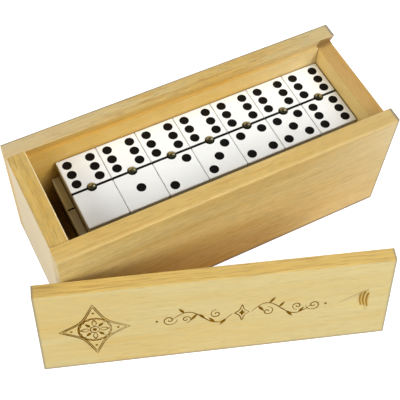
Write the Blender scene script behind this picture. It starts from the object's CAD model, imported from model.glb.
import math

import bpy
from mathutils import Matrix, Vector


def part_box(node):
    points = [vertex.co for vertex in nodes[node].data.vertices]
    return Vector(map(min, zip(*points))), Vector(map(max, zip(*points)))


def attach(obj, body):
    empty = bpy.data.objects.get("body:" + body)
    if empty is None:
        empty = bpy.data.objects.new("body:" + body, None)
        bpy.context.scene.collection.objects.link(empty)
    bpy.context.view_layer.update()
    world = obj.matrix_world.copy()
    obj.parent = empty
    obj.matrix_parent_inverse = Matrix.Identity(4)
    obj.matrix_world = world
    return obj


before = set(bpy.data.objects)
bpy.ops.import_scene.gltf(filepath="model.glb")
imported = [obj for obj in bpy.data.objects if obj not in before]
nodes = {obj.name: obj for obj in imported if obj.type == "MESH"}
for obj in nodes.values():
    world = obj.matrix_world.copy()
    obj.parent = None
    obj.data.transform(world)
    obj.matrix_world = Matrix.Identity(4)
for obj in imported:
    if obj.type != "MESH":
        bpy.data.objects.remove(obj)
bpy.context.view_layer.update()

mm = 0.001


class Field:  # one output of a shader node, so that maths on it reads as maths
    def __init__(self, finish, socket):
        self.finish = finish
        self.socket = socket

    def __add__(self, other):
        return self.finish.maths("ADD", self, other)

    def __radd__(self, other):
        return self.finish.maths("ADD", other, self)

    def __sub__(self, other):
        return self.finish.maths("SUBTRACT", self, other)

    def __rsub__(self, other):
        return self.finish.maths("SUBTRACT", other, self)

    def __mul__(self, other):
        return self.finish.maths("MULTIPLY", self, other)

    def __truediv__(self, other):
        return self.finish.maths("DIVIDE", self, other)

    def __pow__(self, other):
        return self.finish.maths("POWER", self, other)

    def __abs__(self):
        return self.finish.maths("ABSOLUTE", self)

    def __gt__(self, other):
        return self.finish.maths("GREATER_THAN", self, other)

    def __lt__(self, other):
        return self.finish.maths("LESS_THAN", self, other)


class Finish:  # one material, and the nodes that paint it
    def __init__(self, name, colour=(0.8, 0.8, 0.8), roughness=0.5, metallic=0.0):
        self.material = bpy.data.materials.new(name)
        self.material.use_nodes = True
        self.tree = self.material.node_tree
        self.shader = self.tree.nodes["Principled BSDF"]
        self.set("Base Color", (*colour, 1))
        self.set("Roughness", roughness)
        self.set("Metallic", metallic)

    def set(self, socket, value):
        target = self.shader.inputs[socket] if isinstance(socket, str) else socket
        if isinstance(value, Field):
            self.tree.links.new(value.socket, target)
        else:
            target.default_value = value

    def node(self, kind, settings=None, sockets=None, output=0):
        made = self.tree.nodes.new(kind)
        for key, value in (settings or {}).items():
            setattr(made, key, value)
        for key, value in (sockets or {}).items():
            self.set(made.inputs[key], value)
        return Field(self, made.outputs[output])

    def maths(self, operation, first, second=0.0):
        return self.node("ShaderNodeMath", {"operation": operation}, {0: first, 1: second})

    def most(self, *fields):
        found = fields[0]
        for field in fields[1:]:
            found = self.maths("MAXIMUM", found, field)
        return found

    def fade(self, value, start, end, first=0.0, last=1.0):  # first up to the start, last from the end
        sockets = {0: value, 1: start, 2: end, 3: first, 4: last}
        return self.node("ShaderNodeMapRange", {}, sockets)

    def blend(self, factor, first, second, how="MIX"):
        pair = [x if isinstance(x, Field) else (*x, 1) for x in (first, second)]
        settings = {"data_type": "RGBA", "blend_type": how}
        return self.node("ShaderNodeMix", settings, {0: factor, 6: pair[0], 7: pair[1]}, 2)

    def place(self, origin=(0, 0, 0), turn=(0, 0, 0)):  # the spot's place in millimetres
        here = self.node("ShaderNodeTexCoord", output=3)
        sockets = {"Vector": here, "Location": origin, "Rotation": turn, "Scale": (mm, mm, mm)}
        return self.node("ShaderNodeMapping", {"vector_type": "TEXTURE"}, sockets)

    def parts(self, spot=None):  # along X, Y and Z, of a spot or of the place in the frame
        first = self.node("ShaderNodeSeparateXYZ", {}, {0: spot or self.place()})
        return [Field(self, output) for output in first.socket.node.outputs]

    def noise(self, spot, scale, detail=2.0, seed=0.0, rough=0.5):  # scale is in cycles per mm
        stretched = self.node("ShaderNodeVectorMath", {"operation": "MULTIPLY"}, {0: spot, 1: scale})
        sockets = {"Vector": stretched, "W": seed, "Scale": 1.0, "Detail": detail, "Roughness": rough}
        return self.node("ShaderNodeTexNoise", {"noise_dimensions": "4D"}, sockets)

    def bump(self, height, depth):
        self.set("Normal", self.node("ShaderNodeBump", {}, {"Height": height, "Distance": depth * mm}))


def wear(node, finish):
    slots = nodes[node].material_slots
    if not slots:
        nodes[node].data.materials.append(finish.material)
    for slot in slots:
        slot.material = finish.material


def plainMesh(made, name, body, finish):  # what the modifiers give, as a fixed piece
    shape = made.evaluated_get(bpy.context.evaluated_depsgraph_get())
    solid = bpy.data.meshes.new_from_object(shape)
    solid.name = name
    piece = bpy.data.objects.new(name, solid)
    bpy.data.objects.remove(made)
    bpy.context.scene.collection.objects.link(piece)
    if not solid.materials:
        solid.materials.append(finish.material)
    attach(piece, body)
    return piece


# Camera

view = {
    "place": (-149.25, -252.81, 480.40),  # mm
    "turn": 30.647,  # degrees to the right of the back wall's direction
    "dip": 57.984,  # degrees below level
    "roll": 4.081,  # degrees
    "lens": 78.803,  # mm, on a sensor 36 mm wide
    "sensor": 36,
    "nearest": 0.01,  # m
}


def makeCamera():
    turn, dip, roll = (math.radians(view[k]) for k in ("turn", "dip", "roll"))
    ahead = Vector((math.sin(turn) * math.cos(dip), math.cos(turn) * math.cos(dip), -math.sin(dip)))
    level = Vector((math.cos(turn), -math.sin(turn), 0))
    up = level.cross(ahead)
    right = level * math.cos(roll) + up * math.sin(roll)
    axes = Matrix((right, right.cross(ahead), -ahead)).transposed()
    lens = bpy.data.cameras.new("camera")
    lens.lens = view["lens"]
    lens.sensor_width = view["sensor"]
    lens.clip_start = view["nearest"]
    seen = bpy.data.objects.new("camera", lens)
    seen.matrix_world = Matrix.Translation(Vector(view["place"]) * mm) @ axes.to_4x4()
    bpy.context.scene.collection.objects.link(seen)
    bpy.context.scene.camera = seen


makeCamera()
print("camera set")


# Studio: a white table, soft lights on the right, on the left and behind, and two narrow ones behind that
# show as streaks in what is glossy. Little comes from straight above, so the gap beside the dominoes
# is dark.

studio = {
    # how bright a reflection shows the room: on the camera's side, behind the box, and overhead
    "near": 0.30,
    "far": 0.10,
    "high": 0.06,
    "nearToFar": (-0.6, 0.6),  # how far ahead a ray points
    "lowToHigh": (0.1, 0.85),  # how far up it points
    "diffuse": 0.1,  # how much of the room lights the box
    # where each light stands from the box: metres to the camera's right, ahead of it and up
    "lights": {
        "top": {"power": 6.6, "size": (0.8, 0.8), "place": (0.55, 0.3, 1.1), "shows": False},
        "front": {"power": 8.5, "size": (0.7, 0.7), "place": (0.9, -0.5, 1.0), "shows": False},
        "low": {"power": 8.0, "size": (0.7, 0.6), "place": (0.85, -0.85, 0.7), "shows": False},
        "behind": {"power": 3.6, "size": (0.8, 0.4), "place": (0.0, 1.2, 0.35), "shows": False},
        "left": {"power": 12.6, "size": (0.7, 0.5), "place": (-0.95, -0.75, 0.65), "shows": False},
        "leftStreak": {"power": 0.6, "size": (0.3, 0.6), "place": (-0.60, 0.70, 0.86), "shows": True},
        "rightStreak": {"power": 1.6, "size": (0.3, 0.9), "place": (0.64, 0.68, 0.88), "shows": True},
    },
}
tableLook = {
    "size": 6,  # m
    "drop": 0.1,  # mm below the box
    "colour": 0.4,
    "seen": (1.0, 1.0, 1.0),
    # the strip between the case and the lid, all in mm: middle of its width, where it fades out, its ends
    "stripMiddle": -75,
    "stripFade": (60, 30),
    "stripEnds": (-104, 130),
    "stripSeen": (0.10, 0.06, 0.02),  # as the front wall reflects it
    "stripLight": (0.66, 0.36, 0.10),  # what it sends up there
}


def softLight(name, look, side, ahead):
    lamp = bpy.data.lights.new(name, "AREA")
    lamp.shape = "RECTANGLE"
    lamp.size, lamp.size_y = look["size"]
    lamp.energy = look["power"]
    made = bpy.data.objects.new(name, lamp)
    x, y, z = look["place"]
    place = side * x + ahead * y + Vector((0, 0, z))
    away = place.normalized()
    level = Vector((-away.y, away.x, 0)).normalized()
    axes = Matrix((level, away.cross(level), away)).transposed()
    made.matrix_world = Matrix.Translation(place) @ axes.to_4x4()
    made.visible_glossy = look["shows"]
    bpy.context.scene.collection.objects.link(made)


def makeRoom(ahead):  # a world that is bright on the camera's side and dim behind the box and overhead
    world = bpy.data.worlds.new("room")
    bpy.context.scene.world = world
    world.use_nodes = True
    tree = world.node_tree
    add, link = tree.nodes.new, tree.links.new
    back = tree.nodes["Background"]
    back.inputs["Color"].default_value = (1, 1, 1, 1)
    way = add("ShaderNodeTexCoord")
    rays = add("ShaderNodeLightPath")
    split = add("ShaderNodeSeparateXYZ")
    depth = add("ShaderNodeVectorMath")
    depth.operation = "DOT_PRODUCT"
    depth.inputs[1].default_value = ahead
    link(way.outputs["Generated"], split.inputs[0])
    link(way.outputs["Generated"], depth.inputs[0])

    def fade(*given):  # the value, its start and end, and what these two give
        made = add("ShaderNodeMapRange")
        made.interpolation_type = "SMOOTHSTEP"
        for socket, value in zip(made.inputs, given):
            if isinstance(value, (int, float)):
                socket.default_value = value
            else:
                link(value, socket)
        return made.outputs[0]

    level = fade(depth.outputs["Value"], *studio["nearToFar"], studio["near"], studio["far"])
    bright = fade(split.outputs[2], *studio["lowToHigh"], level, studio["high"])
    dimmer = fade(rays.outputs["Is Diffuse Ray"], 0, 1, 1, studio["diffuse"])
    strength = add("ShaderNodeMath")
    strength.operation = "MULTIPLY"
    link(bright, strength.inputs[0])
    link(dimmer, strength.inputs[1])
    link(fade(rays.outputs["Is Camera Ray"], 0, 1, strength.outputs[0], 1), back.inputs["Strength"])


def makeTable():  # white to the camera and in reflections, and dark as a light but for the strip
    look = tableLook
    bpy.ops.mesh.primitive_plane_add(size=look["size"], location=(0, 0, -look["drop"] * mm))
    table = bpy.context.object
    table.name = "table"
    white = Finish("tableWhite", (look["colour"],) * 3, 1.0)
    toCamera, diffuse = (white.node("ShaderNodeLightPath", output=i) for i in (0, 2))
    x, y, z = white.parts()
    left, right = look["stripEnds"]
    strip = white.fade(abs(y - look["stripMiddle"]), *look["stripFade"])
    strip = strip * (x > left) * (x < right) * (1 - toCamera)
    seen = white.blend(strip, look["seen"], look["stripSeen"])
    light = white.blend(strip, (0, 0, 0), look["stripLight"])
    white.set("Emission Color", white.blend(diffuse, seen, light))
    white.set("Emission Strength", 1.0)
    table.data.materials.append(white.material)


def makeStudio():
    turn = math.radians(view["turn"])
    side = Vector((math.cos(turn), -math.sin(turn), 0))
    ahead = Vector((math.sin(turn), math.cos(turn), 0))
    for name, look in studio["lights"].items():
        softLight(name, look, side, ahead)
    makeRoom(ahead)
    makeTable()
    bpy.context.scene.view_settings.view_transform = "Standard"


makeStudio()
print("studio lit")


# Wood of the case: grain along each board, rings about a pith beside it

pine = {
    "pale": (0.67, 0.475, 0.155),
    "warm": (0.60, 0.385, 0.090),
    "deep": (0.46, 0.245, 0.040),
    "pore": (0.26, 0.135, 0.028),
    "amber": (0.62, 0.31, 0.030),
    "ringPitch": 4.2,  # mm between growth rings
    "wander": 16,  # mm that a ring strays
    # how much of each there is
    "warmth": 0.5,
    "streaks": 0.55,
    "dashes": 0.5,
    "mottle": 1.0,
    # the layers' values between which each comes in
    "bandEdge": (0.36, 0.68),
    "streakEdge": (0.51, 0.70),
    "dashEdge": (0.58, 0.72),
    "amberEdge": (0.52, 0.66),
    "shadeEdge": (0.36, 0.58),
    "amberMost": 0.5,
    "shadeLeast": 0.78,
    # how much one layer adds to another
    "broadInBand": 0.8,
    "mottleInStreak": 0.3,
    "mottleInDash": 0.4,
    "broadInAmber": 0.4,  # the rest is fleck
    "mottleInShade": 0.45,  # the rest is fleck
    "roughness": (0.40, 0.56),
    "dashRoughness": 0.1,
    "dashSink": 0.6,
    "fibreDepth": 0.05,  # mm
}
# Each layer: cycles per mm along and across the grain, detail, what it adds to the board's seed, roughness
grain = {
    "wander": (0.009, 0.05, 2, 0, 0.5),
    "sway": (0.012, 0.03, 1, 3, 0.5),
    "broad": (0.011, 0.07, 2, 8, 0.5),
    "lines": (0.028, 0.62, 3, 11, 0.62),
    "pores": (0.11, 1.35, 2, 14, 0.5),
    "mottle": (0.09, 0.26, 3, 17, 0.6),
    "fleck": (0.2, 0.85, 2, 21, 0.6),
}
ringLook = (0.004, 3, 5, 0.62)  # cycles per mm along the grain, detail, seed, roughness

# Where a board's tone differs: each patch has its fades (axis, start, end in mm), its tone and its amount
onRim = ("z", 82.1, 82.5)
belowRim = ("z", 82.5, 82.1)
backInside = ("y", 34.2, 33.6)
worn = (0.90, 0.78, 0.50)
fresh = (0.84, 0.60, 0.21)

boards = {
    "front_wall": {
        "along": "X", "pith": (70, -46), "seed": 1.7, "warmth": 0.46, "dashes": 0.4,
        "pale": (0.66, 0.50, 0.20), "warm": (0.60, 0.42, 0.13), "amber": (0.60, 0.38, 0.09),
        "patches": [
            ([("x", 40, 105), belowRim], (0.74, 0.64, 0.40), 0.3),
            ([("x", 30, 100), onRim], (0.44, 0.35, 0.17), 0.5),
            ([onRim], (0.50, 0.30, 0.08), 0.3),
        ],
    },
    "back_wall": {
        "along": "X", "pith": (-52, 30), "seed": 4.1, "warmth": 0.55, "streaks": 0.75, "dashes": 0.75,
        "pale": (0.62, 0.465, 0.20),
        "patches": [
            ([backInside, belowRim], fresh, 0.4),
            ([onRim], (0.44, 0.34, 0.16), 0.2),
            ([("x", -20, -100), onRim], (0.57, 0.48, 0.31), 0.55),
            ([("x", 40, 100), onRim], (0.48, 0.44, 0.27), 0.4),
            ([("x", 30, 95), belowRim], (0.72, 0.64, 0.42), 0.35),
            ([("x", 80, 20), belowRim], (0.62, 0.35, 0.03), 0.35),
            ([("x", 95.5, 95.9), backInside, belowRim], pine["pore"], 0.8),  # the joint with the low end
        ],
    },
    "closed_end": {
        "along": "Y", "pith": (48, 120), "seed": 7.9, "warmth": 0.48, "dashes": 0.7,
        "pale": (0.60, 0.425, 0.145), "warm": (0.535, 0.345, 0.085),
        "patches": [
            ([("x", -105.0, -105.6), belowRim], (0.80, 0.70, 0.47), 0.5),  # its outer face
            ([("x", -95.6, -95.1), ("z", 82.0, 82.6)], worn, 0.8),  # the arris beside the opening
        ],
    },
    "open_end": {
        "along": "Y", "pith": (-40, 96), "seed": 12.3, "warmth": 0.60,
        "pale": (0.60, 0.455, 0.18), "warm": (0.54, 0.37, 0.11),
        "patches": [
            ([("x", 96.9, 96.3), belowRim], fresh, 0.6),  # its inner face
            ([("z", 74.5, 75.0)], (0.41, 0.22, 0.06), 0.6),
        ],
    },
    "bottom_panel": {"along": "X", "pith": (30, -60), "seed": 15.2, "patches": []},
}
handled = {
    "grey": (0.21, 0.185, 0.14),
    "amount": 0.85,
    "wornAmount": 0.07,  # of the pale front top edge
    # each outer side: its axis, which end of it, and how many mm in the grey starts and is full
    "sides": {
        "left": (0, 0, 2.0, 1.0),
        "near": (1, 0, 2.0, 1.0),
        "bottom": (2, 0, 3.4, 1.8),
        "right": (0, 1, 2.0, 1.0),
        "far": (1, 1, 1.5, 0.75),
        "top": (2, 1, 1.3, 0.65),
    },
}


def paintWood(finish, spot, look):
    look = {**pine, **look}
    x, y, z = finish.parts(spot)
    layers = {}
    for name, (along, across, detail, seed, rough) in grain.items():
        layers[name] = finish.noise(spot, (along, across, across), detail, look["seed"] + seed, rough)
    broad, lines, pores, mottle, fleck = (layers[k] for k in ("broad", "lines", "pores", "mottle", "fleck"))
    pithY, pithZ = look["pith"]
    strayY, strayZ = (layers[k] * look["wander"] for k in ("wander", "sway"))
    fromPith = ((y - pithY + strayY) ** 2 + (z - pithZ + strayZ) ** 2) ** 0.5
    along, detail, seed, rough = ringLook
    ringSpot = finish.node("ShaderNodeCombineXYZ", {}, {0: fromPith / look["ringPitch"], 1: x * along})
    rings = finish.noise(ringSpot, (1, 1, 1), detail, look["seed"] + seed, rough)

    band = rings + (broad - 0.5) * look["broadInBand"] + look["warmth"] - 0.5
    band = finish.fade(band, *look["bandEdge"])
    streak = finish.fade(lines + (mottle - 0.5) * look["mottleInStreak"], *look["streakEdge"])
    dash = finish.fade(pores + (mottle - 0.5) * look["mottleInDash"], *look["dashEdge"])
    amber = broad * look["broadInAmber"] + fleck * (1 - look["broadInAmber"])
    amber = finish.fade(amber, *look["amberEdge"], 0.0, look["amberMost"])
    shade = mottle * look["mottleInShade"] + fleck * (1 - look["mottleInShade"])
    shade = finish.fade(shade, *look["shadeEdge"], look["shadeLeast"], 1.0)
    colour = finish.blend(band, look["pale"], look["warm"])
    colour = finish.blend(streak * look["streaks"], colour, look["deep"])
    colour = finish.blend(dash * look["dashes"], colour, look["pore"])
    colour = finish.blend(amber, colour, look["amber"])
    colour = finish.blend(look["mottle"], colour, shade, "MULTIPLY")
    low, high = look["roughness"]
    finish.set("Roughness", low + lines * (high - low) + dash * look["dashRoughness"])
    return colour, lines - dash * look["dashSink"]


def outerEdges(finish):  # the case's handled outer edges, and the front top one, which is worn pale
    place = finish.parts()
    by = {}
    for side, (axis, end, start, full) in handled["sides"].items():
        face = cadCase[end][axis] / mm
        inwards = -1 if end else 1
        by[side] = finish.fade(place[axis], face + inwards * start, face + inwards * full)
    left, near, bottom, right, far, top = by.values()
    most = finish.most
    alongFar = far * most(top, left, right)
    alongRight = right * most(top, near)
    alongBottom = bottom * most(left, right, near, far)
    return most(alongFar, alongRight, alongBottom), near * top


def boardFinish(name, look):
    finish = Finish("pine_" + name)
    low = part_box(name)[0]
    turn = (0, 0, math.radians(90)) if look["along"] == "Y" else (0, 0, 0)
    colour, relief = paintWood(finish, finish.place(low, turn), look)
    place = dict(zip("xyz", finish.parts()))
    for fades, tone, amount in look["patches"]:
        area = 1
        for axis, start, end in fades:
            area = finish.fade(place[axis], start, end) * area
        colour = finish.blend(area * amount, colour, tone)
    dark, wornEdge = outerEdges(finish)
    colour = finish.blend(wornEdge * handled["wornAmount"], colour, worn)
    finish.set("Base Color", finish.blend(dark * handled["amount"], colour, handled["grey"]))
    finish.bump(relief, pine["fibreDepth"])
    return finish


walls = [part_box(name) for name in boards]
cadCase = [
    Vector([pick(corners[end][axis] for corners in walls) for axis in range(3)])
    for end, pick in enumerate((min, max))
]
for name, look in boards.items():
    wear(name, boardFinish(name, look))
print("case boards painted")


# Lid, measured in its own plane: along from its inner end, across from the lower edge, out of its face

lidPose = {"turn": 19.4, "lean": 16.8}  # degrees
lidWood = {
    "pale": (0.60, 0.49, 0.215),
    "warm": (0.58, 0.43, 0.150),
    "deep": (0.50, 0.34, 0.095),
    "pore": (0.34, 0.23, 0.08),
    "amber": (0.62, 0.40, 0.09),
    "pith": (-38, -130),
    "seed": 21.4,
    "warmth": 0.42,
    "streaks": 0.35,
    "dashes": 0.3,
    "mottle": 0.35,
}
lidEdges = {
    "length": 198.5,  # mm
    "sideFrom": 59.1,  # mm across, where the face turns into the sloped upper edge
    "side": (0.58, 0.385, 0.10),
    "sideStreak": (0.36, 0.21, 0.05),
    "sideGrain": ((0.055, 1.1, 1.1), 3, 31.0, 0.6),
    "sideEdge": (0.46, 0.66),
    "sideAmount": 0.8,
    "rim": (0.24, 0.21, 0.15),
    "rimAmount": 0.75,
    "rimFade": (-1.5, -0.7),  # mm past the face's edge
    "farRim": (4.1, 4.9),  # mm past where the sloped edge starts
    "noRim": 9,  # mm inside the face's edge, which keeps the rim off where the sloped edge starts
}
notch = {
    "tip": (167.8, 29.6),  # mm
    "spread": 0.53,  # half width over length
    "slack": 0.2,  # mm that the cutter's marks may pass the notch's sides
    "lip": (0.30, 0.23, 0.09),
    "lipAmount": 0.55,
    "lipFade": (0.9, 0.2),  # mm from the notch's upper side
    "lipStart": (1.0, 4.0),  # mm from the tip
    "lipEnd": (16.0, 13.0),
    # marks of the cutter, arcs about a middle on the notch's axis
    "arcMiddle": 36.0,  # mm from the tip
    "arcs": (18.0, 22.8),  # mm from that middle
    "arcReach": 5.6,  # mm to each side of the axis
    "arcPitch": 1.5,
    "arcDepth": 0.25,
    "scorch": (0.66, 0.42, 0.09),
    "scorchAmount": 0.8,
    "furrow": (0.25, 0.14, 0.008),
    "furrowEdge": (0.6, 0.15),  # of the wave, from its crest down
}


def lidPlane():
    turn, lean = math.radians(lidPose["turn"]), math.radians(lidPose["lean"])
    along = Vector((math.cos(turn), -math.sin(turn), 0))
    across = Vector((math.sin(lean) * math.sin(turn), math.sin(lean) * math.cos(turn), math.cos(lean)))
    out = along.cross(across)
    spots = [v.co for v in nodes["lid"].data.vertices]
    face = max(p.dot(out) for p in spots)
    onFace = [p.dot(across) for p in spots if p.dot(out) > face - 0.1 * mm]
    start = min(p.dot(along) for p in spots)
    origin = along * start + across * min(onFace) + out * face
    return Matrix.Translation(origin) @ Matrix((along, across, out)).transposed().to_4x4()


lidFrame = lidPlane()


def notchLook(finish, colour, x, y):  # shades the notch's lip and burns the cutter's marks into it
    run, side = x - notch["tip"][0], y - notch["tip"][1]
    inside = abs(side) < run * notch["spread"] + notch["slack"]
    reach = ((run - notch["arcMiddle"]) ** 2 + side ** 2) ** 0.5
    first, last = notch["arcs"]
    cut = inside * (reach > first) * (reach < last) * (abs(side) < notch["arcReach"])
    wave = finish.maths("SINE", (reach - first) * (2 * math.pi / notch["arcPitch"]))
    furrow = cut * finish.fade(wave * 0.5 + 0.5, *notch["furrowEdge"])
    lip = finish.fade(abs(side - run * notch["spread"]), *notch["lipFade"])
    lip = lip * finish.fade(run, *notch["lipStart"]) * finish.fade(run, *notch["lipEnd"])
    colour = finish.blend(cut * notch["scorchAmount"], colour, notch["scorch"])
    colour = finish.blend(furrow, colour, notch["furrow"])
    return finish.blend(lip * notch["lipAmount"], colour, notch["lip"]), wave * cut * notch["arcDepth"]


def lidFinish():
    finish = Finish("pine_lid")
    spot = finish.place(lidFrame.translation, lidFrame.to_euler())
    colour, relief = paintWood(finish, spot, lidWood)
    x, y, z = finish.parts(spot)
    sideFrom = lidEdges["sideFrom"]
    onSide = y > sideFrom
    streaks = finish.fade(finish.noise(spot, *lidEdges["sideGrain"]), *lidEdges["sideEdge"])
    sideColour = finish.blend(streaks, lidEdges["side"], lidEdges["sideStreak"])
    colour = finish.blend(onSide * lidEdges["sideAmount"], colour, sideColour)
    colour, marks = notchLook(finish, colour, x, y)
    half = lidEdges["length"] / 2
    pastEnd = abs(x - half) - half
    pastSide = (0 - y) * (1 - onSide) - onSide * lidEdges["noRim"]
    rim = finish.fade(finish.most(pastEnd, pastSide), *lidEdges["rimFade"])
    rim = finish.most(rim, finish.fade(y, *(sideFrom + past for past in lidEdges["farRim"])))
    finish.set("Base Color", finish.blend(rim * lidEdges["rimAmount"], colour, lidEdges["rim"]))
    finish.bump(relief * pine["fibreDepth"] + marks, 1.0)
    return finish


wear("lid", lidFinish())
print("lid painted")


# Burned ornament on the lid: an emblem in a curved frame, and a scroll band along the middle

burn = {
    "colour": (0.26, 0.13, 0.004),
    "deep": (0.10, 0.042, 0.001),
    "scorch": ((0.35, 1.2, 1.2), 3, 2.0),  # cycles per mm, detail, seed
    "scorchEdge": (0.35, 0.70),
    "roughness": 0.9,
    "shine": 0.1,
    "height": 0.05,  # mm
    "line": 0.62,  # mm wide
    "swell": (0.55, 0.6),  # share of that width at a stroke's ends, and what its middle adds
}
emblemLook = {  # sizes in mm
    "middle": (31.0, 29.6),
    "half": (19.5, 20.0),  # half width and half height of the frame
    "hollow": 0.26,
    "innerFrame": 0.9,  # of the outer one
    "rings": (9.2, 8.1, 2.5),
    "scallop": 0.6,
    "scallops": 16,
    "heart": 1.2,
    "petals": 8,
    "petalRoot": 3.1,
    "linePetal": (4.6, 2.4),  # length and width
    "fullPetal": (4.2, 1.9),
    "dotsAt": 0.66,  # of the frame's half width and height
    "dot": 0.75,
}
scrollLook = {  # sizes in mm
    "middle": (113.0, 30.4),
    "diamond": ((4.2, 6.5), 0.3),  # half sizes and hollow
    "heart": ((1.8, 2.9), 0.25),
    "stemFrom": 5.5,
    "stemLength": 34.0,
    "stemSteps": 48,
    "rise": 6.2,
    "riseLost": 0.25,  # share of the rise that is gone at the stem's end
    "lastCurl": (40.8, 4.4, 1.6),  # place along, size and turns
    # the other curls: place, start in degrees, size and turns
    "curls": ((14.5, -1.2, 90, 3.6, 1.4), (31.5, 0.6, 270, 3.2, 1.4)),
    "leaves": ((0.10, -1, 6.0), (0.30, 1, 5.6), (0.46, 1, 5.0), (0.58, -1, 6.2), (0.80, 1, 5.0)),
    "leafWidth": 1.7,
    "leafTurn": 52,  # degrees from the band's direction
    "dot": (47.8, 0.8),  # place along and radius
}


def burnFinish():
    finish = Finish("burned", roughness=burn["roughness"])
    finish.set("Specular IOR Level", burn["shine"])
    spot = finish.place(lidFrame.translation, lidFrame.to_euler())
    scorch = finish.fade(finish.noise(spot, *burn["scorch"]), *burn["scorchEdge"])
    finish.set("Base Color", finish.blend(scorch, burn["deep"], burn["colour"]))
    return finish


def newTree(name, floats, whole=()):  # a geometry tree with its sockets, and its ways to add and link nodes
    tree = bpy.data.node_groups.new(name, "GeometryNodeTree")
    face = tree.interface
    face.new_socket("Geometry", in_out="INPUT", socket_type="NodeSocketGeometry")
    for label in floats:
        face.new_socket(label, in_out="INPUT", socket_type="NodeSocketFloat")
    for label in whole:
        face.new_socket(label, in_out="INPUT", socket_type="NodeSocketInt")
    face.new_socket("Material", in_out="INPUT", socket_type="NodeSocketMaterial")
    face.new_socket("Geometry", in_out="OUTPUT", socket_type="NodeSocketGeometry")
    return tree, tree.nodes.new, tree.links.new


def finishTree(add, link, given, geometry):  # instances made real and given their material
    real = add("GeometryNodeRealizeInstances")
    coat = add("GeometryNodeSetMaterial")
    result = add("NodeGroupOutput")
    link(geometry, real.inputs[0])
    link(real.outputs[0], coat.inputs["Geometry"])
    link(given.outputs["Material"], coat.inputs["Material"])
    link(coat.outputs[0], result.inputs[0])


def strokeTree():
    tree, add, link = newTree("burnedStroke", ("Line Width", "Line Height"))
    given = add("NodeGroupInput")
    level = add("GeometryNodeSetCurveNormal")
    level.mode = "Z_UP"
    outline = add("GeometryNodeCurvePrimitiveQuadrilateral")
    width = add("GeometryNodeInputRadius")
    sweep = add("GeometryNodeCurveToMesh")
    sweep.inputs["Fill Caps"].default_value = True
    link(given.outputs["Geometry"], level.inputs["Curve"])
    link(given.outputs["Line Width"], outline.inputs["Width"])
    link(given.outputs["Line Height"], outline.inputs["Height"])
    link(level.outputs[0], sweep.inputs["Curve"])
    link(outline.outputs[0], sweep.inputs["Profile Curve"])
    link(width.outputs[0], sweep.inputs["Scale"])
    finishTree(add, link, given, sweep.outputs[0])
    return tree


def giveInputs(modifier, values):  # a modifier's inputs go by their sockets' identifiers
    for item in modifier.node_group.interface.items_tree:
        if item.in_out == "INPUT" and item.name in values:
            modifier[item.identifier] = values[item.name]


def around(centre, angle, reach):  # the spot at an angle in degrees, reach being one radius or two
    across, up = reach if isinstance(reach, tuple) else (reach, reach)
    turned = math.radians(angle)
    return centre[0] + across * math.cos(turned), centre[1] + up * math.sin(turned)


def spiral(centre, start, size, turns, way, steps=40, power=1.2, eye=0.35):  # winds in to the eye's radius
    path = []
    for i in range(steps + 1):
        t = i / steps
        radius = size * (1 - t) ** power + eye * t
        path.append(around(centre, start + way * turns * 360 * t, radius))
    return path


def ring(centre, radius, steps=48, scallop=0.0, lobes=0):
    path = []
    for i in range(steps + 1):
        angle = 360 * i / steps
        bulge = scallop * abs(math.sin(math.radians(lobes * angle / 2)))
        path.append(around(centre, angle, radius + bulge))
    return path


def dot(centre, radius, steps=10):  # an outline without its last spot, which a closed curve doesn't repeat
    return ring(centre, radius, steps)[:-1]


def curvedFrame(centre, half, hollow, steps=14):  # four sides that bow inwards
    corners = [(half[0], 0), (0, half[1]), (-half[0], 0), (0, -half[1])]
    path = []
    for i in range(4):
        (ax, ay), (bx, by) = corners[i], corners[(i + 1) % 4]
        for k in range(steps):
            t = k / steps
            inward = 1 - hollow * math.sin(math.pi * t)
            x, y = (ax + (bx - ax) * t) * inward, (ay + (by - ay) * t) * inward
            path.append((centre[0] + x, centre[1] + y))
    return path + path[:1]


def leaf(root, heading, length, width, steps=9, skew=0.8):  # a pointed outline that starts at its root
    c, s = math.cos(math.radians(heading)), math.sin(math.radians(heading))
    edge = []
    for i in range(steps + 1):
        t = i / steps
        edge.append((length * t, width / 2 * math.sin(math.pi * t ** skew)))
    edge += [(a, -b) for a, b in reversed(edge[1:-1])]
    return [(root[0] + a * c - b * s, root[1] + a * s + b * c) for a, b in edge]


def emblem():
    look = emblemLook
    centre, half, inner = look["middle"], look["half"], look["innerFrame"]
    outerRing, scallopRing, heartRing = look["rings"]
    strokes = [
        curvedFrame(centre, half, look["hollow"]),
        curvedFrame(centre, (half[0] * inner, half[1] * inner), look["hollow"]),
        ring(centre, outerRing),
        ring(centre, scallopRing, 96, look["scallop"], look["scallops"]),
        ring(centre, heartRing, 24),
    ]
    fills = [dot(centre, look["heart"], 12)]
    for i in range(look["petals"]):
        heading = 360 / look["petals"] * i
        root = around(centre, heading, look["petalRoot"])
        if i % 2:
            fills.append(leaf(root, heading, *look["fullPetal"]))
        else:
            strokes.append(leaf(root, heading, *look["linePetal"]) + [root])
            fills.append(dot(around(centre, heading, tuple(look["dotsAt"] * h for h in half)), look["dot"]))
    return strokes, fills


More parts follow.
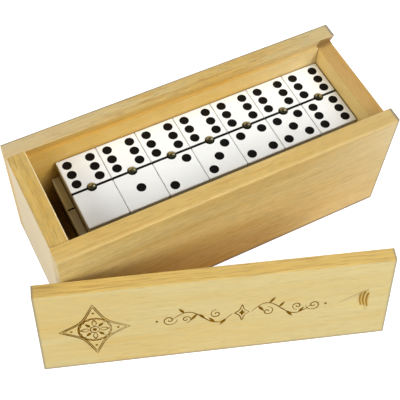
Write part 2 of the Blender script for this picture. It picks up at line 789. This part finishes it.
def scrollBand():
    look = scrollLook
    cx, cy = look["middle"]
    strokes = [curvedFrame((cx, cy), *look["diamond"])]
    fills = [curvedFrame((cx, cy), *look["heart"])[:-1]]
    steps = look["stemSteps"]
    for way in (1, -1):
        stem = []
        for i in range(steps + 1):
            t = i / steps
            up = look["rise"] * math.sin(2 * math.pi * t) * (1 - look["riseLost"] * t)
            stem.append((cx + way * (look["stemFrom"] + look["stemLength"] * t), cy + way * up))
        strokes.append(stem)
        along, size, turns = look["lastCurl"]
        strokes.append(spiral((cx + way * along, cy), 90 + 90 * way, size, turns, way))
        for along, up, start, size, turns in look["curls"]:
            strokes.append(spiral((cx + way * along, cy + way * up), start, size, turns, -way))
        for at, side, length in look["leaves"]:
            heading = 90 - way * 90 + side * way * look["leafTurn"]
            fills.append(leaf(stem[round(steps * at)], heading, length, look["leafWidth"]))
        along, radius = look["dot"]
        fills.append(dot((cx + way * along, cy), radius))
    return strokes, fills


def pathCurve(name, paths, flat):  # outlines drawn in the lid's plane
    curve = bpy.data.curves.new(name, "CURVE")
    curve.dimensions = "2D" if flat else "3D"
    thin, swell = burn["swell"]
    for path in paths:
        line = curve.splines.new("POLY")
        line.points.add(len(path) - 1)
        line.use_cyclic_u = flat
        for i, ((a, b), point) in enumerate(zip(path, line.points)):
            point.co = (a * mm, b * mm, 0, 1)
            point.radius = thin + swell * math.sin(math.pi * i / (len(path) - 1))
    made = bpy.data.objects.new(name, curve)
    bpy.context.scene.collection.objects.link(made)
    return made


def burnedPieces():
    finish, tree = burnFinish(), strokeTree()
    for name, (strokes, fills) in (("burnedEmblem", emblem()), ("burnedScroll", scrollBand())):
        lines = pathCurve(name + "Lines", strokes, False)
        made = lines.modifiers.new("strokes", "NODES")
        made.node_group = tree
        giveInputs(made, {
            "Line Width": burn["line"] * mm,
            "Line Height": burn["height"] * mm,
            "Material": finish.material,
        })
        filled = pathCurve(name + "Fills", fills, True)
        filled.data.fill_mode = "BOTH"
        filled.data.extrude = burn["height"] / 2 * mm
        for drawn in (lines, filled):
            piece = plainMesh(drawn, drawn.name, "lid", finish)
            piece.data.transform(lidFrame)
            piece.data.update()


burnedPieces()
print("ornament burned into the lid")


# Dominoes: white plate over black plate, and a brass pin

domino = {
    "backTop": 6.47,  # mm up from a domino's underside, in the middle of the glue line
    "faceTop": 12.5,
    "margin": 0.015,  # mm above the face, where a head's brass starts
    "layerPitch": 14.3,
    "layerShift": 0.1,  # mm below the bottom panel's top, where the first layer is taken to start
    "white": (0.88, 0.895, 0.885),
    # noises: cycles per mm along each axis, detail, seed, roughness
    "clouds": ((0.06, 0.06, 0.06), 2, 3.0),
    "cloud": (0.82, 0.825, 0.80),
    "cloudAmount": 0.5,
    "scuffs": ((0.9, 0.25, 0.9), 3, 6.0, 0.7),
    "whiteRoughness": (0.26, 0.16),  # least, and what scuffs add
    "sawn": (0.46, 0.43, 0.36),  # a white plate's sides
    "sawnFade": (0.3, 0.6),  # mm below the face
    "ink": (0.006, 0.005, 0.005),  # the line across the face
    "inkFade": (0.85, 0.72),  # mm from the line's middle
    "black": (0.018, 0.012, 0.009),
    "blackScuffs": ((0.9, 0.3, 0.9), 3, 5.0, 0.7),
    "blackScuff": (0.045, 0.036, 0.03),
    "blackScuffAmount": 0.4,
    "blackRoughness": (0.24, 0.2),
    "brass": (0.52, 0.50, 0.30),
    "tarnishes": ((0.5, 0.5, 0.5), 3, 9.0),
    "tarnish": (0.13, 0.12, 0.05),
    "tarnishEdge": (0.45, 0.75),
    "tarnishAmount": 0.35,
    "brassRoughness": (0.2, 0.15),
    "grime": (0.022, 0.019, 0.008),  # round a pin's head
    "grimeFade": (1.6, 2.4),  # mm from the pin's middle
    "grimeRoughness": 0.3,
    "scuffDepth": 0.006,  # mm
}


def whiteLook(finish, spot):
    clouds = finish.noise(spot, *domino["clouds"])
    scuffs = finish.noise(spot, *domino["scuffs"])
    least, more = domino["whiteRoughness"]
    colour = finish.blend(clouds * domino["cloudAmount"], domino["white"], domino["cloud"])
    return colour, least + scuffs * more, scuffs


def sawnSides(finish, colour, height, top):
    start, end = domino["sawnFade"]
    return finish.blend(finish.fade(height, top - start, top - end), colour, domino["sawn"])


def brassLook(finish, spot):
    patch = finish.fade(finish.noise(spot, *domino["tarnishes"]), *domino["tarnishEdge"])
    least, more = domino["brassRoughness"]
    colour = finish.blend(patch * domino["tarnishAmount"], domino["brass"], domino["tarnish"])
    return colour, least + patch * more


def faceFinish():
    finish = Finish("whitePlate")
    spot = finish.place()
    colour, roughness, scuffs = whiteLook(finish, spot)
    x, y, z = finish.parts(spot)
    colour = sawnSides(finish, colour, z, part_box("face_6_0")[1].z / mm)
    low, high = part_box("pin_6_0")
    line = finish.fade(abs(y - (low.y + high.y) / 2 / mm), *domino["inkFade"])
    finish.set("Base Color", finish.blend(line, colour, domino["ink"]))
    finish.set("Roughness", roughness)
    finish.bump(scuffs, domino["scuffDepth"])
    return finish


def backFinish():
    finish = Finish("blackPlate")
    scuffs = finish.noise(finish.place(), *domino["blackScuffs"])
    least, more = domino["blackRoughness"]
    colour = finish.blend(scuffs * domino["blackScuffAmount"], domino["black"], domino["blackScuff"])
    finish.set("Base Color", colour)
    finish.set("Roughness", least + scuffs * more)
    finish.bump(scuffs, domino["scuffDepth"])
    return finish


def pinFinish():
    finish = Finish("brassPin", metallic=1.0)
    spot = finish.place()
    colour, roughness = brassLook(finish, spot)
    x, y, z = finish.parts(spot)
    last, other = (sum(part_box(name), Vector()) / 2 / mm for name in ("pin_6_6", "pin_6_5"))
    pitch = last.x - other.x
    across = (finish.maths("FRACT", (last.x - x) / pitch + 0.5) - 0.5) * pitch
    away = (across ** 2 + (y - last.y) ** 2) ** 0.5
    grime = finish.fade(away, *domino["grimeFade"])
    finish.set("Base Color", finish.blend(grime, colour, domino["grime"]))
    finish.set("Roughness", roughness + grime * domino["grimeRoughness"])
    return finish


def wholeFinish():  # black, white and brass by height, for a domino that is one node
    finish = Finish("wholeDomino")
    spot = finish.place()
    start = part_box("bottom_panel")[1].z / mm - domino["layerShift"]
    top = domino["faceTop"] + domino["margin"]
    layer = finish.maths("FRACT", (finish.parts(spot)[2] - start) / domino["layerPitch"])
    height = layer * domino["layerPitch"] - domino["layerShift"]
    isWhite, isBrass = height > domino["backTop"], height > top
    white, whiteRough, scuffs = whiteLook(finish, spot)
    brass, brassRough = brassLook(finish, spot)
    colour = finish.blend(isWhite, domino["black"], sawnSides(finish, white, height, top))
    finish.set("Base Color", finish.blend(isBrass, colour, brass))
    finish.set("Roughness", whiteRough + isBrass * (brassRough - whiteRough))
    finish.set("Metallic", isBrass)
    finish.bump(scuffs * (1 - isBrass), domino["scuffDepth"])
    return finish


def paintDominoes():
    looks = {"face": faceFinish(), "back": backFinish(), "pin": pinFinish(), "domino": wholeFinish()}
    for name in nodes:
        piece = name.split("_")[0]
        if piece in looks and name not in boards:
            wear(name, looks[piece])


paintDominoes()
print("dominoes painted")


# Paint in the pips and the line

paint = {
    "black": (0.004, 0.0035, 0.0035),
    "dusty": (0.010, 0.009, 0.009),
    "dustAmount": 0.5,
    "shine": 0.12,
    "grit": ((1.6, 1.6, 1.6), 2, 1.0),  # cycles per mm, detail, seed
    "gritDepth": 0.02,
    "roughness": (0.32, 0.25),  # least, and what grit adds
    "pipFace": 5.72,  # mm across at the face
    "pipFloor": 4.5,
    "pipDeep": 0.47,
    "pipDish": 0.22,  # how far the paint sinks in the middle
    "pipSides": 28,
    "below": 0.03,  # under the face
    "columns": 14.2,
    "rows": 7.0,
    "halfShift": 0.25,  # a half's middle lies this much farther out than a quarter of the length
    "line": 0.96,
    "lineDeep": 0.46,
    "lineClear": 1.5,  # from the pin's middle
    "edgeClear": 0.45,
    # section of the line's paint: half widths across, and up from its floor at -1 to the face at 0
    "lineSection": ((-1, -1), (1, -1), (1, 0), (0, -0.25), (-1, 0)),
}


def paintFinish():
    finish = Finish("pipPaint")
    finish.set("Specular IOR Level", paint["shine"])
    grit = finish.noise(finish.place(), *paint["grit"])
    least, more = paint["roughness"]
    finish.set("Base Color", finish.blend(grit * paint["dustAmount"], paint["black"], paint["dusty"]))
    finish.set("Roughness", least + grit * more)
    finish.bump(grit, paint["gritDepth"])
    return finish


def pipTree():
    labels = ("Face Radius", "Floor Radius", "Depth", "Dish")
    tree, add, link = newTree("pipPlugs", labels, ("Sides",))

    def maths(operation, first, second):
        made = add("ShaderNodeMath")
        made.operation = operation
        for socket, value in zip(made.inputs, (first, second)):
            if isinstance(value, (int, float)):
                socket.default_value = value
            else:
                link(value, socket)
        return made.outputs[0]

    given = add("NodeGroupInput")
    radius, floor, deep, dish = (given.outputs[label] for label in labels)
    plug = add("GeometryNodeMeshCone")
    plug.inputs["Side Segments"].default_value = 1
    plug.inputs["Fill Segments"].default_value = 4
    link(given.outputs["Sides"], plug.inputs["Vertices"])
    link(radius, plug.inputs["Radius Top"])
    link(floor, plug.inputs["Radius Bottom"])
    link(deep, plug.inputs["Depth"])
    here = add("GeometryNodeInputPosition")
    split = add("ShaderNodeSeparateXYZ")
    link(here.outputs[0], split.inputs[0])
    x, y, z = split.outputs
    away = maths("ADD", maths("MULTIPLY", x, x), maths("MULTIPLY", y, y))
    share = maths("DIVIDE", away, maths("MULTIPLY", radius, radius))
    isTop = maths("GREATER_THAN", z, maths("MULTIPLY", deep, 0.5))
    sink = maths("MULTIPLY", maths("MULTIPLY", maths("SUBTRACT", share, 1), dish), isTop)
    shift = add("ShaderNodeCombineXYZ")
    link(maths("SUBTRACT", sink, deep), shift.inputs[2])
    bend = add("GeometryNodeSetPosition")
    link(plug.outputs["Mesh"], bend.inputs["Geometry"])
    link(shift.outputs[0], bend.inputs["Offset"])
    points = add("GeometryNodeMeshToPoints")
    link(given.outputs["Geometry"], points.inputs["Mesh"])
    spread = add("GeometryNodeInstanceOnPoints")
    link(points.outputs[0], spread.inputs["Points"])
    link(bend.outputs[0], spread.inputs["Instance"])
    finishTree(add, link, given, spread.outputs[0])
    return tree


def pipSteps(count):  # columns and rows away from the middle of a half
    steps = [(0, 0)] if count % 2 else []
    steps += [(1, 1), (-1, -1)] if count >= 2 else []
    steps += [(-1, 1), (1, -1)] if count >= 4 else []
    return steps + ([(-1, 0), (1, 0)] if count == 6 else [])


def dominoPlace(name):  # middle of a domino's face, half width and half length
    low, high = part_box(name)
    top = low.z + domino["faceTop"] * mm if name.startswith("domino") else high.z
    middle, half = (low + high) / 2, (high - low) / 2
    return Vector((middle.x, middle.y, top)), half.x, half.y


def newPiece(mesh, spots, faces):
    mesh.from_pydata(spots, [], faces)
    made = bpy.data.objects.new(mesh.name, mesh)
    bpy.context.scene.collection.objects.link(made)
    return made


def pipSpots(values, middle, halfLong):
    outwards = halfLong / 2 + paint["halfShift"] * mm
    spots = []
    for value, way in zip(values, (1, -1)):
        for column, row in pipSteps(int(value)):
            x = middle.x + column * paint["columns"] / 2 * mm
            y = middle.y + way * outwards + row * paint["rows"] * mm
            spots.append((x, y, middle.z - paint["below"] * mm))
    return spots


def lineStrips(middle, halfWide):  # two bars of paint, one on each side of the pin
    section = paint["lineSection"]
    count = len(section)
    spots, faces = [], []
    top = middle.z - paint["below"] * mm
    for way in (1, -1):
        first = len(spots)
        for x in sorted((way * paint["lineClear"] * mm, way * (halfWide - paint["edgeClear"] * mm))):
            for across, up in section:
                y = middle.y + across * paint["line"] / 2 * mm
                spots.append((middle.x + x, y, top + up * paint["lineDeep"] * mm))
        for i in range(count):
            k = (i + 1) % count
            faces.append((first + i, first + count + i, first + count + k, first + k))
        faces.append(tuple(first + i for i in range(count)))
        faces.append(tuple(first + count + i for i in reversed(range(count))))
    return spots, faces


def paintPieces():
    finish, tree = paintFinish(), pipTree()
    plugInputs = {
        "Face Radius": paint["pipFace"] / 2 * mm,
        "Floor Radius": paint["pipFloor"] / 2 * mm,
        "Depth": (paint["pipDeep"] - paint["below"]) * mm,
        "Dish": paint["pipDish"] * mm,
        "Sides": paint["pipSides"],
        "Material": finish.material,
    }
    for name in nodes:
        piece, *values = name.split("_")
        if piece not in ("face", "domino"):
            continue
        ending = "_" + "_".join(values)
        middle, halfWide, halfLong = dominoPlace(name)
        spots = pipSpots(values, middle, halfLong)
        if spots:
            made = newPiece(bpy.data.meshes.new("pips" + ending), spots, [])
            plugs = made.modifiers.new("plugs", "NODES")
            plugs.node_group = tree
            giveInputs(plugs, plugInputs)
            plainMesh(made, made.name, "tile" + ending, finish)
        made = newPiece(bpy.data.meshes.new("line" + ending), *lineStrips(middle, halfWide))
        made.data.materials.append(finish.material)
        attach(made, "tile" + ending)


paintPieces()
print("pips and lines painted")

print("done")
